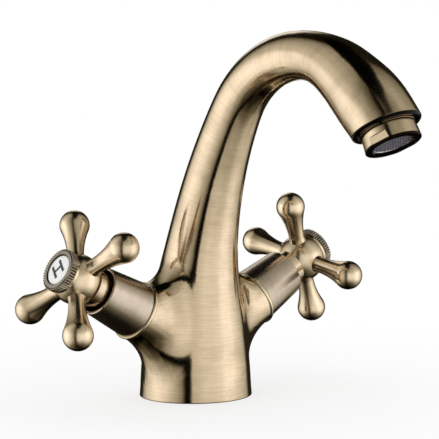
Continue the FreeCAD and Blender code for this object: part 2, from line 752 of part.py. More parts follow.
def make_handle_screw():
    """Slotted screw that holds the handle on the spindle."""
    head = cylinder(SCREW_HEAD_R, WEB_TOP, WEB_TOP + SCREW_HEAD_H)
    shank = cylinder(SCREW_R, SPINDLE_TOP - SCREW_REACH, WEB_TOP)
    top = WEB_TOP + SCREW_HEAD_H
    slot = box_round_axis(3 * SCREW_HEAD_R, SCREW_SLOT_W, top - SCREW_SLOT_DEPTH, top)
    return fused([head, shank]).cut(slot)


def make_index_cap():
    """Knurled cap that screws into the front of the hub and frames the index disc."""
    knurl = toothed(CAP_R, CAP_R - CAP_TOOTH_DEPTH, CAP_TEETH, HUB_FACE, CAP_FRONT - CAP_BEZEL_H)
    bezel = Part.makeCone(
        CAP_R - CAP_TOOTH_DEPTH, CAP_BEZEL_R, CAP_BEZEL_H, Vector(0, 0, CAP_FRONT - CAP_BEZEL_H)
    )
    thread = cylinder(CAP_THREAD_R, HUB_FACE - CAP_THREAD_H, HUB_FACE)
    index_floor = CAP_FRONT - INDEX_SUNK - INDEX_H
    return cut_all(fused([knurl, bezel, thread]), [
        cylinder(CAP_BORE_R, HUB_FACE - CAP_THREAD_H, index_floor),
        cylinder(INDEX_R + SEAL_PLAY, index_floor, CAP_FRONT),
    ])


def make_index_disc():
    """White disc that carries the hot or cold mark, with a slightly domed face."""
    floor = CAP_FRONT - INDEX_SUNK - INDEX_H
    rim = CAP_FRONT - INDEX_SUNK
    sphere_r = (INDEX_R**2 + INDEX_DOME**2) / (2 * INDEX_DOME)
    half = math.degrees(math.asin(INDEX_R / sphere_r)) / 2
    middle = on_circle((0, rim + INDEX_DOME - sphere_r), sphere_r, 90 - half)
    return turned([
        (0, floor),
        (INDEX_R, floor),
        (INDEX_R, rim),
        (*middle, "arc"),
        (0, rim + INDEX_DOME),
    ])


# ---- aerator -------------------------------------------------------------------------------
def aerator_bore_r():
    """Inside radius of the aerator's shell."""
    return AERATOR_THREAD_R - AERATOR_WALL


def make_aerator_shell():
    """Threaded shell with two spanner flats and a lip that holds the insert."""
    cone = Part.makeCone(AERATOR_NECK_R, AERATOR_R, AERATOR_H)
    lower_edge = [e for e in cone.Edges if e.BoundBox.ZMin > AERATOR_H - SAME_PLACE]
    cone = cone.makeFillet(AERATOR_EDGE_ROUND, lower_edge)
    shell = fused([cylinder(AERATOR_THREAD_R, -AERATOR_THREAD_H, 0), cone])
    flats = box_round_axis(3 * AERATOR_R, AERATOR_FLATS, AERATOR_FLAT_FROM, AERATOR_H)
    outside_flats = cylinder(2 * AERATOR_R, AERATOR_FLAT_FROM, AERATOR_H).cut(flats)
    outside_flats.rotate(Vector(), UP, AERATOR_ANGLE)
    return cut_all(shell, [
        outside_flats,
        cylinder(aerator_bore_r(), -AERATOR_THREAD_H, AERATOR_H - AERATOR_LIP_H),
        cylinder(AERATOR_LIP_R, AERATOR_H - AERATOR_LIP_H, AERATOR_H),
    ])


def screen_foot():
    """Upstream face of the outlet screen."""
    return AERATOR_H - AERATOR_LIP_H - SCREEN_H


def make_aerator_screen():
    """Honeycomb at the outlet that straightens the stream."""
    outer_r = aerator_bore_r() - SEAL_PLAY
    open_r = AERATOR_LIP_R - SCREEN_PITCH / 2
    top = AERATOR_H - AERATOR_LIP_H
    screen = cylinder(outer_r, screen_foot(), top)
    rows = int(2 * AERATOR_LIP_R / SCREEN_PITCH)
    cells = []
    for row in range(-rows, rows + 1):
        for column in range(-rows, rows + 1):
            x = SCREEN_PITCH * (column + row / 2)
            y = SCREEN_PITCH * row * math.sqrt(3) / 2
            if math.hypot(x, y) < open_r:
                cell = hexagon(SCREEN_PITCH - SCREEN_RIB, screen_foot(), top)
                cell.rotate(Vector(), UP, 30)
                cell.translate(Vector(x, y, 0))
                cells.append(cell)
    return screen.cut(Part.makeCompound(cells))


def make_aerator_insert():
    """Plastic flow body between the strainer and the screen."""
    outer_r = aerator_bore_r() - SEAL_PLAY
    low = -AERATOR_THREAD_H + STRAINER_H
    tube = ring(outer_r, outer_r - INSERT_WALL, low, screen_foot())
    middle = (low + screen_foot()) / 2
    bridge = cylinder(outer_r, middle, middle + INSERT_WALL)
    jet = box_round_axis(INSERT_WALL, INSERT_WALL, middle, middle + INSERT_WALL)
    jets = []
    for i in range(STRAINER_HOLE_COUNT):
        hole = jet.copy()
        hole.translate(Vector(outer_r / 2, 0, 0))
        hole.rotate(Vector(), UP, 360 / STRAINER_HOLE_COUNT * i)
        jets.append(hole)
    return cut_all(fused([tube, bridge]), jets)


def make_aerator_strainer():
    """Inlet strainer on top of the insert."""
    outer_r = aerator_bore_r() - SEAL_PLAY
    low = -AERATOR_THREAD_H
    disc = cylinder(outer_r, low, low + STRAINER_H)
    holes = [cylinder(STRAINER_HOLE_R, low, low + STRAINER_H)]
    for ring_r in (outer_r / 3, outer_r * 2 / 3):
        for i in range(STRAINER_HOLE_COUNT):
            hole = cylinder(STRAINER_HOLE_R, low, low + STRAINER_H, ring_r)
            hole.rotate(Vector(), UP, 360 / STRAINER_HOLE_COUNT * i)
            holes.append(hole)
    return cut_all(disc, holes)


def make_aerator_washer():
    """Rubber washer between the aerator and the bottom of its bore."""
    inner_r = waterway_radius(sum(arc_lengths())) - AERATOR_WASHER_LAP
    low = -AERATOR_THREAD_H - AERATOR_WASHER_H
    return ring(AERATOR_THREAD_R - SEAL_PLAY, inner_r, low, -AERATOR_THREAD_H)


# ---- all sub-parts -------------------------------------------------------------------------
VALVE_PARTS = {
    "trim_ring": make_trim_ring,
    "shroud": make_shroud,
    "cartridge": make_cartridge,
    "face_washer": make_face_washer,
    "seat_seal": make_seat_seal,
    "fixed_disc": make_fixed_disc,
    "moving_disc": make_moving_disc,
    "thrust_washer": make_thrust_washer,
    "spindle": make_spindle,
    "spindle_o_rings": make_o_rings,
    "spindle_clip": make_clip,
}
HANDLE_PARTS = {
    "handle": make_handle,
    "handle_screw": make_handle_screw,
    "index_cap": make_index_cap,
    "index_disc": make_index_disc,
}
OUTLET_PARTS = {
    "aerator_shell": make_aerator_shell,
    "aerator_screen": make_aerator_screen,
    "aerator_insert": make_aerator_insert,
    "aerator_strainer": make_aerator_strainer,
    "aerator_washer": make_aerator_washer,
}


def all_parts():
    """Every sub-part in its place, by name."""
    parts = {"body": make_body(), "base_seal": make_base_seal()}
    for name, make in OUTLET_PARTS.items():
        parts[name] = at_outlet(make())
    for name, make in VALVE_PARTS.items():
        shape = make()
        for side in SIDES:
            parts[f"{side}_{name}"] = on_valve(side, shape)
    for name, make in HANDLE_PARTS.items():
        shape = make()
        for side in SIDES:
            parts[f"{side}_{name}"] = on_valve(side, shape, HANDLE_ANGLE[side])
    return parts


os.makedirs("parts", exist_ok=True)
for node, solid in all_parts().items():
    solid.exportStep(f"parts/{node}.step")
    print(node, "solids", len(solid.Solids), "valid", solid.isValid())
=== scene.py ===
"""Looks of a basin tap with two cross handles: finishes, index letters, outlet gauze and studio."""

import json
from math import atan2, cos, pi, radians, sin

import bpy
from bpy.props import FloatProperty, FloatVectorProperty, IntProperty, PointerProperty
from mathutils import Matrix, Vector


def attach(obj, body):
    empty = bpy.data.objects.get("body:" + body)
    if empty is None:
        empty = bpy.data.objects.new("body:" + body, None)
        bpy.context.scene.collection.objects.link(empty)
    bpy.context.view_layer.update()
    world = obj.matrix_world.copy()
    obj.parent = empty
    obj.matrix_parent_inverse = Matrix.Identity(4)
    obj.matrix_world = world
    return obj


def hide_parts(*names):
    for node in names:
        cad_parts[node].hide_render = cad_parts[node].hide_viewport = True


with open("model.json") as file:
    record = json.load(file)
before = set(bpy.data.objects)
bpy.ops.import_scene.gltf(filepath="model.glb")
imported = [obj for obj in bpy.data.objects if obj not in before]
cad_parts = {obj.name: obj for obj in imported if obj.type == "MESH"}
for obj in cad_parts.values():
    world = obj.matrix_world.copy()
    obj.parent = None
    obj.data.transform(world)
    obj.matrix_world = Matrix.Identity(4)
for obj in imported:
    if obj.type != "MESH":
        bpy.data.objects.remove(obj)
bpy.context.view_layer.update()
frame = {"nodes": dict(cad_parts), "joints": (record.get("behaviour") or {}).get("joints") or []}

bl_info = {
    "name": "Cross Handle Tap",
    "version": (1, 0, 0),
    "blender": (4, 5, 0),
    "location": "3D View > Sidebar > Tap",
    "description": "Finishes, index letters, outlet gauze and studio of a cross handle tap",
    "category": "Object",
}

MM = 0.001
SIDES = ("hot", "cold")
INDEX_LETTERS = {"hot": "H", "cold": "C"}

# The body's centre line, from the deck to the outlet: bend radius and turn of each arc.
CENTRE_LINE = (
    (611.0 * MM, radians(3.45)),
    (204.8 * MM, radians(28.05)),
    (49.75 * MM, radians(91.6)),
    (110.6 * MM, radians(17.5)),
)
OUTLET_TILT = radians(27.0)     # the outlet faces this far forward of straight down

# Painted shade in hollows, in the tarnish colour: reach, most that stays, openness where it starts
# and where it is full.
SHADE_AND_TARNISH_HOLLOWS = (
    (2.5 * MM, 1.0, 0.85, 0.30),
    (14.0 * MM, 0.25, 0.92, 0.50),
)
# Painted shade: dark bands round the ends of the spout and the aerator, standing in for a dark
# reflection on their rounded ends.
MOUTH_BAND = 1.3 * MM           # dark band round the end of the spout
AERATOR_BAND = 0.9 * MM         # and round the end of the aerator
OUTLET_REACH = 26.0 * MM        # everything round the outlet is nearer to it than this
EDGE_SOFT = 0.15 * MM           # soft edge of these bands and of the line round an index disc

# Brush marks: how wide and how long they are.
BODY_MARK_WIDTH = 0.8 * MM
BODY_MARK_LENGTH = 14.0 * MM
TURNED_MARK_WIDTH = 0.6 * MM    # on what was turned on a valve's axis
RIDGE_MARK_LENGTH = 3.0 * MM
INNER_MARK_WIDTH = 0.5 * MM
INNER_MARK_LENGTH = 6.0 * MM
STEEL_MARK = 1.0 * MM           # on the gauze and its rim, as long as wide

# Brushed metal: the marks differ in shade, gloss and height, and some tarnish stays in blotches.
MARK_LEVELS = (0.32, 0.68)      # noise of the darkest and of the lightest mark
MARK_GLOSS = (1.2, 0.85)        # share of the roughness in the lowest and in the highest mark
MARK_BUMP = 0.35                # how strongly their relief bends reflections
BLOTCH_SCALE = 70.0             # per metre
BLOTCH_TARNISH = 0.30           # most tarnish in a blotch
BLOTCH_LEVELS = (0.45, 0.75)    # noise where a blotch starts and where it is full

# Moulded, glazed and rubber surfaces: faint unevenness of gloss and height.
PLAIN_GLOSS = (0.8, 1.2)
PLAIN_BUMP = 0.2
BUMP_DEPTH = 0.02 * MM
ENAMEL_SHADE = 0.95             # second shade of the enamel, as a share of the first
INK_SHADE = 2.0                 # and of the letters

CAP_RADIUS = 9.5 * MM           # outside of an index cap
RIDGE_SINK = 0.10 * MM          # a ridge's middle lies this far inside it
RIDGE_MARGIN = 0.25 * MM        # plain edge left at both ends of a ridge
RIDGE_SIDES = 8
RIDGE_ROUND = 0.6               # rounding of a ridge's edges, as a share of its radius
CAPITAL_SHARE = 0.72            # height of a capital in the built-in font, as a share of its size
LETTER_BOLDNESS = 0.10 * MM     # added all round the letter's strokes
GAUZE_RADIUS = 8.8 * MM
GAUZE_WAVE = 0.10 * MM          # how far the wires bend in and out at their crossings
RIM_INNER = 8.38 * MM           # bright ring that holds the gauze
RIM_OUTER = 9.55 * MM
RIM_PLATE = 0.80 * MM           # its thickness
RIM_ROUND = 0.38 * MM           # rounding of its edges
RIM_SINK = 0.12 * MM            # its middle lies this far behind the gauze
RIM_SIDES = 64
RIM_SMOOTH = radians(35)        # its edges look round up to this angle

# Moulded, glazed and rubber pieces: endings of their names, colour, second shade and roughness.
MOULDED = {
    "ceramic": (("fixed_disc", "moving_disc"), (0.88, 0.87, 0.83), (0.80, 0.79, 0.75), 0.12),
    "rubber": (("seal", "o_rings", "aerator_washer"), (0.03,) * 3, (0.05,) * 3, 0.60),
    "white_plastic": (("strainer", "thrust_washer"), (0.62,) * 3, (0.52, 0.52, 0.53), 0.45),
    "grey_plastic": (("insert", "screen"), (0.15, 0.14, 0.17), (0.11, 0.10, 0.13), 0.40),
    "red_fibre": (("face_washer",), (0.30, 0.06, 0.03), (0.22, 0.04, 0.02), 0.80),
}

# Camera: it looks at a point above the middle of the base, shifted a little to frame the tap.
CAMERA_TURN = radians(-39.8764)     # round Z, from straight in front
CAMERA_CLIMB = radians(4.4477)
CAMERA_ROLL = radians(-0.5900)
CAMERA_DISTANCE = 850.0 * MM
CAMERA_AIM_HEIGHT = 86.667 * MM
CAMERA_ASIDE = 11.889 * MM
CAMERA_LOWER = -5.480 * MM
LENS = 151.74
SENSOR = 36.0

# Light tent round the tap. Angles run from the camera's direction, positive to its right.
TENT_R = 1.2
TENT_CENTRE = Vector((0, 0, CAMERA_AIM_HEIGHT))
TENT_PEAK = 2.0                 # strength that a ramp's full white stands for
TENT_ROUND = (
    # angle round the tap, strength of the cloth there
    (-141, 0.02),
    (-132, 0.46),
    (-118, 0.90),
    (-104, 1.12),
    (-88, 1.28),
    (-72, 1.16),
    (-56, 0.84),
    (-40, 0.54),
    (-28, 0.30),
    (-20, 0.00),
    (-9, 0.00),
    (-6, 0.64),
    (18, 0.86),
    (38, 0.86),
    (54, 0.95),
    (68, 1.20),
    (86, 1.18),
    (102, 0.90),
    (116, 0.70),
    (128, 0.48),
    (138, 0.02),
)
TENT_HEIGHT = (
    # angle above the level, factor on that strength
    (-76, 0.02),
    (-56, 0.14),
    (-40, 0.56),
    (-24, 1.02),
    (-8, 1.13),
    (8, 1.11),
    (28, 0.62),
    (52, 0.42),
    (68, 0.32),
    (80, 0.20),
)
TENT_TINTS = (
    # strength as a share of TENT_PEAK, colour of the cloth
    (0.00, (1.00, 0.86, 0.50)),
    (0.16, (1.00, 0.98, 0.84)),
    (0.60, (1.00, 1.00, 1.00)),
)
OPEN_TOP_MIDDLE = (0.02, 0.02)  # dark open top of the tent: right of and nearer than its zenith
OPEN_TOP_REACH = (0.30, 0.60)   # how far it reaches sideways, and to and fro
OPEN_TOP_SOFT = 0.16
# Openings behind the tap that show the white background: angle, height, radius and soft edge.
WINDOWS = (
    (180, -4, 8, 3),
    (-172, 26, 12, 4),
)

# The floor reaches past the tent. It is lit near the tap and fades to the white background.
FLOOR_SIZE = 4 * TENT_R
FLOOR_COLOUR = (0.92, 0.92, 0.92, 1.0)
FLOOR_WHITE_NEAR = 0.70         # share of plain white near the tap
FLOOR_FADE_FROM = 80.0 * MM
FLOOR_FADE_TO = 260.0 * MM
WHITE = (1.0, 1.0, 1.0, 1.0)


# ---- the frame -----------------------------------------------------------------------------
def nodes_named(*endings):
    """Every CAD node whose name ends in one of these."""
    return [node for name, node in frame["nodes"].items() if name.endswith(endings)]


def valve_axis(side):
    """Unit vector out of the body along a valve's axis, and the middle of its handle."""
    joint = next(j for j in frame["joints"] if j["child"] == side + "_handle")
    middle = Vector(joint["pos_m"])
    axis = Vector(joint["axis"]).normalized()
    return (axis if axis.dot(middle) > 0 else -axis), middle


def reach_along(name, origin, axis):
    """How far a CAD node reaches from a point along an axis: (least, most)."""
    along = [(v.co - origin).dot(axis) for v in frame["nodes"][name].data.vertices]
    return min(along), max(along)


def centre_line_arcs():
    """(bend radius, turn, centre, heading at the middle) of each arc of the body's centre line."""
    arcs = []
    point = Vector()
    heading = 0.0
    for radius, turn in CENTRE_LINE:
        centre = point - radius * Vector((0, cos(heading), sin(heading)))
        arcs.append((radius, turn, centre, heading + turn / 2))
        heading += turn
        point = centre + radius * Vector((0, cos(heading), sin(heading)))
    return arcs


def outlet():
    """Middle of the spout's end face, and the unit vector that points out of it."""
    radius, turn, centre, middle = centre_line_arcs()[-1]
    end = middle + turn / 2
    down = Vector((0, -sin(OUTLET_TILT), -cos(OUTLET_TILT)))
    return centre + radius * Vector((0, cos(end), sin(end))), down


def turned_to(x, y, z):
    """Rotation that turns the three axes to these unit vectors."""
    return Matrix((x, y, z)).transposed().to_4x4()


def camera_axes():
    """The camera's right, up and backward unit vectors."""
    back = Vector((
        sin(CAMERA_TURN) * cos(CAMERA_CLIMB),
        -cos(CAMERA_TURN) * cos(CAMERA_CLIMB),
        sin(CAMERA_CLIMB),
    ))
    level = Vector((cos(CAMERA_TURN), sin(CAMERA_TURN), 0))
    upright = back.cross(level)
    right = cos(CAMERA_ROLL) * level + sin(CAMERA_ROLL) * upright
    up = cos(CAMERA_ROLL) * upright - sin(CAMERA_ROLL) * level
    return right, up, back


def tent_direction(angle, height):
    """Unit vector to a place on the tent."""
    turn, rise = CAMERA_TURN + radians(angle), radians(height)
    return Vector((sin(turn) * cos(rise), -cos(turn) * cos(rise), sin(rise)))


# ---- shader nodes --------------------------------------------------------------------------
def add_node(tree, kind, inputs=None, **settings):
    """A new shader node. An input is given by its name or number, as a value or as the output
    that feeds it."""
    node = tree.nodes.new(kind)
    for name, value in settings.items():
        setattr(node, name, value)
    for key, value in (inputs or {}).items():
        if isinstance(value, bpy.types.NodeSocket):
            tree.links.new(value, node.inputs[key])
        else:
            node.inputs[key].default_value = value
    return node


def maths(tree, operation, *values):
    """Output of a Math node."""
    return add_node(tree, "ShaderNodeMath", dict(enumerate(values)), operation=operation).outputs[0]


def vector_maths(tree, operation, *values):
    """Output of a Vector Math node, a number for a dot product or a length and else a vector."""
    node = add_node(tree, "ShaderNodeVectorMath", dict(enumerate(values)), operation=operation)
    return node.outputs["Value" if operation in ("DOT_PRODUCT", "LENGTH") else "Vector"]


def object_point(tree):
    """The shaded point in the tap's own coordinates."""
    return add_node(tree, "ShaderNodeTexCoord").outputs["Object"]


def colour_ramp(tree, factor, stops, interpolation="EASE"):
    """Output of a Color Ramp. The stops are (position, colour)."""
    node = add_node(tree, "ShaderNodeValToRGB", {0: factor})
    node.color_ramp.interpolation = interpolation
    elements = node.color_ramp.elements
    while len(elements) < len(stops):
        elements.new(1.0)
    for element, (position, colour) in zip(elements, stops):
        element.position = position
        element.color = (*colour, 1.0)
    return node.outputs[0]


def spread(tree, value, low, high, from_low=0.0, from_high=1.0):
    """Output of a Map Range, held inside its range."""
    inputs = {
        "Value": value,
        "From Min": from_low,
        "From Max": from_high,
        "To Min": low,
        "To Max": high,
    }
    return add_node(tree, "ShaderNodeMapRange", inputs).outputs[0]


def mix_colour(tree, factor, first, second, blend="MIX"):
    """Output of a Mix node for colours, which are its inputs 6 and 7 and its output 2."""
    inputs = {0: factor, 6: as_rgba(first), 7: as_rgba(second)}
    return add_node(tree, "ShaderNodeMix", inputs, data_type="RGBA", blend_type=blend).outputs[2]


def as_rgba(colour):
    """A colour with its alpha, or a socket as it is."""
    return colour if isinstance(colour, bpy.types.NodeSocket) else (*colour, 1.0)


def noise(tree, point, scale, detail=2.0, roughness=0.5):
    """Factor output of a Noise texture."""
    inputs = {"Vector": point, "Scale": scale, "Detail": detail, "Roughness": roughness}
    return add_node(tree, "ShaderNodeTexNoise", inputs).outputs[0]


def stretched(tree, point, sizes, rotation=(0.0, 0.0, 0.0)):
    """A point turned, then measured along each axis in a size of its own."""
    turned = add_node(tree, "ShaderNodeMapping", {"Vector": point, "Rotation": rotation}).outputs[0]
    scale = tuple(1 / size for size in sizes)
    return add_node(tree, "ShaderNodeMapping", {"Vector": turned, "Scale": scale}).outputs[0]


def new_material(name, **inputs):
    """A material with a Principled shader. Its inputs are given by name, with a space written as
    an underline."""
    material = bpy.data.materials.new(name)
    material.use_nodes = True
    tree = material.node_tree
    tree.nodes.clear()
    shader = add_node(tree, "ShaderNodeBsdfPrincipled")
    for key, value in inputs.items():
        shader.inputs[key.replace("_", " ")].default_value = value
    add_node(tree, "ShaderNodeOutputMaterial", {"Surface": shader.outputs[0]})
    return material, tree, shader


def dress(nodes, material):
    """Gives CAD nodes a material."""
    for node in nodes:
        node.data.materials.clear()
        node.data.materials.append(material)


def straightened_group():
    """Node group that straightens the body: X stays, and Z becomes the distance along the centre
    line, so that brushing runs round the spout all the way to the outlet. Onward is the centre
    line's direction there."""
    tree = bpy.data.node_groups.new("Straightened spout", "ShaderNodeTree")
    tree.interface.new_socket("Point", in_out="INPUT", socket_type="NodeSocketVector")
    for name in ("Straightened", "Onward"):
        tree.interface.new_socket(name, in_out="OUTPUT", socket_type="NodeSocketVector")
    point = add_node(tree, "NodeGroupInput").outputs[0]
    distance = 0.0
    heading = sum(turn for _, turn in CENTRE_LINE) / 2
    for radius, turn, centre, middle in centre_line_arcs():
        arm = vector_maths(tree, "SUBTRACT", point, centre)
        outward = vector_maths(tree, "DOT_PRODUCT", arm, (0, cos(middle), sin(middle)))
        ahead = vector_maths(tree, "DOT_PRODUCT", arm, (0, -sin(middle), cos(middle)))
        angle = maths(tree, "ARCTAN2", ahead, outward)
        limits = {"Value": angle, "Min": -turn / 2, "Max": turn / 2}
        held = add_node(tree, "ShaderNodeClamp", limits).outputs[0]
        distance = maths(tree, "MULTIPLY_ADD", held, radius, distance)
        heading = maths(tree, "ADD", held, heading)
    x = add_node(tree, "ShaderNodeSeparateXYZ", {"Vector": point}).outputs["X"]
    straight = add_node(tree, "ShaderNodeCombineXYZ", {"X": x, "Z": distance}).outputs[0]
    forward = maths(tree, "MULTIPLY", maths(tree, "SINE", heading), -1.0)
    upward = maths(tree, "COSINE", heading)
    onward = add_node(tree, "ShaderNodeCombineXYZ", {"Y": forward, "Z": upward}).outputs[0]
    add_node(tree, "NodeGroupOutput", {"Straightened": straight, "Onward": onward})
    return tree


# ---- finishes ------------------------------------------------------------------------------
def shade_and_tarnish_share(tree):
    """Painted shade by occlusion: full in crevices, partly real tarnishing, a little in broad
    hollows.
    """
    layers = []
    for reach, most, from_open, to_closed in SHADE_AND_TARNISH_HOLLOWS:
        node = add_node(tree, "ShaderNodeAmbientOcclusion", {"Distance": reach}, samples=8)
        layers.append(spread(tree, node.outputs["AO"], 0.0, most, from_open, to_closed))
    return maths(tree, "MAXIMUM", *layers)


def link_surface(tree, shader, colour, height, roughness, bump):
    """Gives a shader its colour, and its gloss and relief from one noise. roughness is that of the
    noise's low and high places."""
    inputs = {"Strength": bump, "Distance": BUMP_DEPTH, "Height": height}
    relief = add_node(tree, "ShaderNodeBump", inputs).outputs[0]
    tree.links.new(colour, shader.inputs["Base Color"])
    tree.links.new(spread(tree, height, *roughness), shader.inputs["Roughness"])
    tree.links.new(relief, shader.inputs["Normal"])


def paint_over(material, share, colour):
    """Lays a colour over a material's own one, as much as share says."""
    tree = material.node_tree
    shader = next(node for node in tree.nodes if node.type == "BSDF_PRINCIPLED")
    base = shader.inputs["Base Color"]
    tree.links.new(mix_colour(tree, share, base.links[0].from_socket, colour), base)


def brushed_metal(name, colour, tarnish_and_shade, roughness, guide, grain, stretch=0.0):
    """A brushed metal with tarnished blotches and painted shade in its hollows. guide gives the
    point that the brush marks follow, with the marks lying across its Z, and the direction that the
    gloss is drawn out along. grain is how strongly the marks show."""
    material, tree, shader = new_material(name, Metallic=1.0, Anisotropic=stretch)
    point, onward = guide(tree)
    marks = noise(tree, point, 1.0, detail=4.0, roughness=0.62)
    cloud = noise(tree, object_point(tree), BLOTCH_SCALE, detail=3.0, roughness=0.6)
    blotches = spread(tree, cloud, 0.0, BLOTCH_TARNISH, *BLOTCH_LEVELS)
    worn = mix_colour(tree, blotches, colour, tarnish_and_shade)
    dark, light = MARK_LEVELS
    shade = colour_ramp(tree, marks, ((dark, (1 - grain,) * 3), (light, (1.0,) * 3)))
    streaked = mix_colour(tree, 1.0, worn, shade, "MULTIPLY")
    # painted shade: ambient occlusion lays the tarnish colour in hollows, partly real tarnishing in
    # crevices
    aged_and_shaded = mix_colour(tree, shade_and_tarnish_share(tree), streaked, tarnish_and_shade)
    gloss = [roughness * share for share in MARK_GLOSS]
    link_surface(tree, shader, aged_and_shaded, marks, gloss, MARK_BUMP)
    if stretch:
        tree.links.new(onward, shader.inputs["Tangent"])
    return material


def paint_end_shade(metal, start, end_shade_colour):
    """Paints a dark band of shade on a metal round the outlet, in place of the dark that the
    rounded end reflects. start is measured along the outlet's axis from the spout's end."""
    tree = metal.node_tree
    end, down = outlet()
    arm = vector_maths(tree, "SUBTRACT", object_point(tree), end)
    along = vector_maths(tree, "DOT_PRODUCT", arm, down)
    band = spread(tree, along, 0.0, 1.0, start - EDGE_SOFT, start + EDGE_SOFT)
    near = maths(tree, "LESS_THAN", vector_maths(tree, "LENGTH", arm), OUTLET_REACH)
    paint_over(metal, maths(tree, "MULTIPLY", band, near), end_shade_colour)


def level_guide(width, length):
    """Guide for brush marks that lie level, on a metal whose gloss isn't drawn out."""

    def guide(tree):
        return stretched(tree, object_point(tree), (length, length, width)), None

    return guide


def turned_guide(side, length):
    """Guide for brush marks round a valve's axis."""
    axis, _ = valve_axis(side)
    tilt = -atan2(axis.x, axis.z)

    def guide(tree):
        sizes = (length, length, TURNED_MARK_WIDTH)
        onward = add_node(tree, "ShaderNodeCombineXYZ", {"X": axis.x, "Z": axis.z}).outputs[0]
        return stretched(tree, object_point(tree), sizes, (0, tilt, 0)), onward

    return guide


def plain_material(name, first, second, roughness, scale=300.0):
    """A moulded, glazed or rubber surface with a faint unevenness of colour and height."""
    material, tree, shader = new_material(name)
    cloud = noise(tree, object_point(tree), scale, detail=3.0)
    colour = mix_colour(tree, cloud, first, second)
    gloss = [roughness * share for share in PLAIN_GLOSS]
    link_surface(tree, shader, colour, cloud, gloss, PLAIN_BUMP)
    return material


def enamel_material(side, enamel, ink, shadow_line_radius):
    """Glazed white with a thin painted shadow round its edge, where the cap's inner wall shades it.
    """
    axis, middle = valve_axis(side)
    shade = tuple(ENAMEL_SHADE * c for c in enamel)
    material = plain_material(side + "_enamel", enamel, shade, roughness=0.12)
    tree = material.node_tree
    arm = vector_maths(tree, "SUBTRACT", object_point(tree), middle)
    radius = vector_maths(tree, "LENGTH", vector_maths(tree, "CROSS_PRODUCT", arm, axis))
    # painted shadow of the cap's inner wall, in the letters' colour
    line = spread(tree, radius, 0.0, 1.0, shadow_line_radius, shadow_line_radius + EDGE_SOFT)
    paint_over(material, line, ink)
    return material


class TapSettings(bpy.types.PropertyGroup):
    """Sizes and colours of the tap's looks"""

    brass: FloatVectorProperty(
        name="Antique brass",
        description="Brushed brass of the body and the aerator",
        subtype="COLOR",
        default=(0.79, 0.63, 0.44),
    )
    # Painted light: a lighter copy of the body's brass, standing in for more light on the handles.
    lit_handle_brass: FloatVectorProperty(
        name="Handle brass",
        description="Brass of the handles, rubbed lighter than the body",
        subtype="COLOR",
        default=(0.92, 0.75, 0.54),
    )
    # Colour of the tarnished blotches, also laid in hollows as painted shade.
    tarnish_and_shade: FloatVectorProperty(
        name="Tarnish",
        description="Brown that is left in the hollows",
        subtype="COLOR",
        default=(0.22, 0.15, 0.07),
    )
    # Painted shade: the nearly black band round the ends of the spout and the aerator.
    end_shade_colour: FloatVectorProperty(
        name="Patina",
        description="Nearly black patina round the ends of the spout and the aerator",
        subtype="COLOR",
        default=(0.008, 0.006, 0.005),
    )
    sleeve: FloatVectorProperty(
        name="Sleeve bronze",
        description="Darker bronze of the sleeves behind the handles",
        subtype="COLOR",
        default=(0.62, 0.52, 0.42),
    )
    trim: FloatVectorProperty(
        name="Bright trim",
        description="Polished brass of the trim rings",
        subtype="COLOR",
        default=(0.84, 0.72, 0.50),
    )
    cap: FloatVectorProperty(
        name="Index cap",
        description="Aged silver brass of the knurled index caps",
        subtype="COLOR",
        default=(0.40, 0.36, 0.30),
    )
    enamel: FloatVectorProperty(
        name="Enamel",
        description="White of the index discs",
        subtype="COLOR",
        default=(0.92, 0.92, 0.90),
    )
    # Also the colour of the painted shadow round the index discs.
    ink: FloatVectorProperty(
        name="Lettering",
        description="Colour of the index letters and of the line round the discs",
        subtype="COLOR",
        default=(0.02, 0.02, 0.025),
    )
    # Painted shadow: where the dark ring round an index disc starts.
    shadow_line_radius: FloatProperty(
        name="Border line",
        description="Inner radius of the dark line round an index disc",
        subtype="DISTANCE",
        default=6.55 * MM,
    )
    letter_height: FloatProperty(
        name="Letter height",
        description="Height of an index letter",
        subtype="DISTANCE",
        default=7.0 * MM,
    )
    letter_thickness: FloatProperty(
        name="Letter thickness",
        description="How far a letter stands out",
        subtype="DISTANCE",
        default=0.12 * MM,
    )
    letter_turn: FloatProperty(
        name="Letter turn",
        description="How far a letter is turned from upright with the tap shut",
        subtype="ANGLE",
        default=radians(50),
    )
    ridges: IntProperty(
        name="Cap ridges",
        description="Number of ridges round an index cap",
        subtype="UNSIGNED",
        default=48,
    )
    ridge_radius: FloatProperty(
        name="Ridge radius",
        description="Roundness of a cap's ridge",
        subtype="DISTANCE",
        default=0.42 * MM,
    )
    gauze_pitch: FloatProperty(
        name="Gauze pitch",
        description="Spacing of the outlet gauze's wires",
        subtype="DISTANCE",
        default=0.8 * MM,
    )
    gauze_wire: FloatProperty(
        name="Gauze wire",
        description="Thickness of the gauze's wires",
        subtype="DISTANCE",
        default=0.30 * MM,
    )


class TAP_OT_body_finish(bpy.types.Operator):
    """Brushes the body across its length, all the way round the spout"""

    bl_idname = "tap.body_finish"
    bl_label = "Body finish"

    def execute(self, context):
        tap = context.scene.tap
        group = straightened_group()

        def guide(tree):
            point = {"Point": object_point(tree)}
            node = add_node(tree, "ShaderNodeGroup", point, node_tree=group)
            sizes = (BODY_MARK_LENGTH, 1, BODY_MARK_WIDTH)      # a straightened point's Y is 0
            return stretched(tree, node.outputs["Straightened"], sizes), node.outputs["Onward"]

        metal = brushed_metal(
            "body_brass",
            tap.brass,
            tap.tarnish_and_shade,
            roughness=0.13,
            guide=guide,
            grain=0.14,
            stretch=0.6,
        )
        # painted shade: dark band round the spout's end
        paint_end_shade(metal, -MOUTH_BAND, tap.end_shade_colour)
        dress(nodes_named("body"), metal)
        return {"FINISHED"}


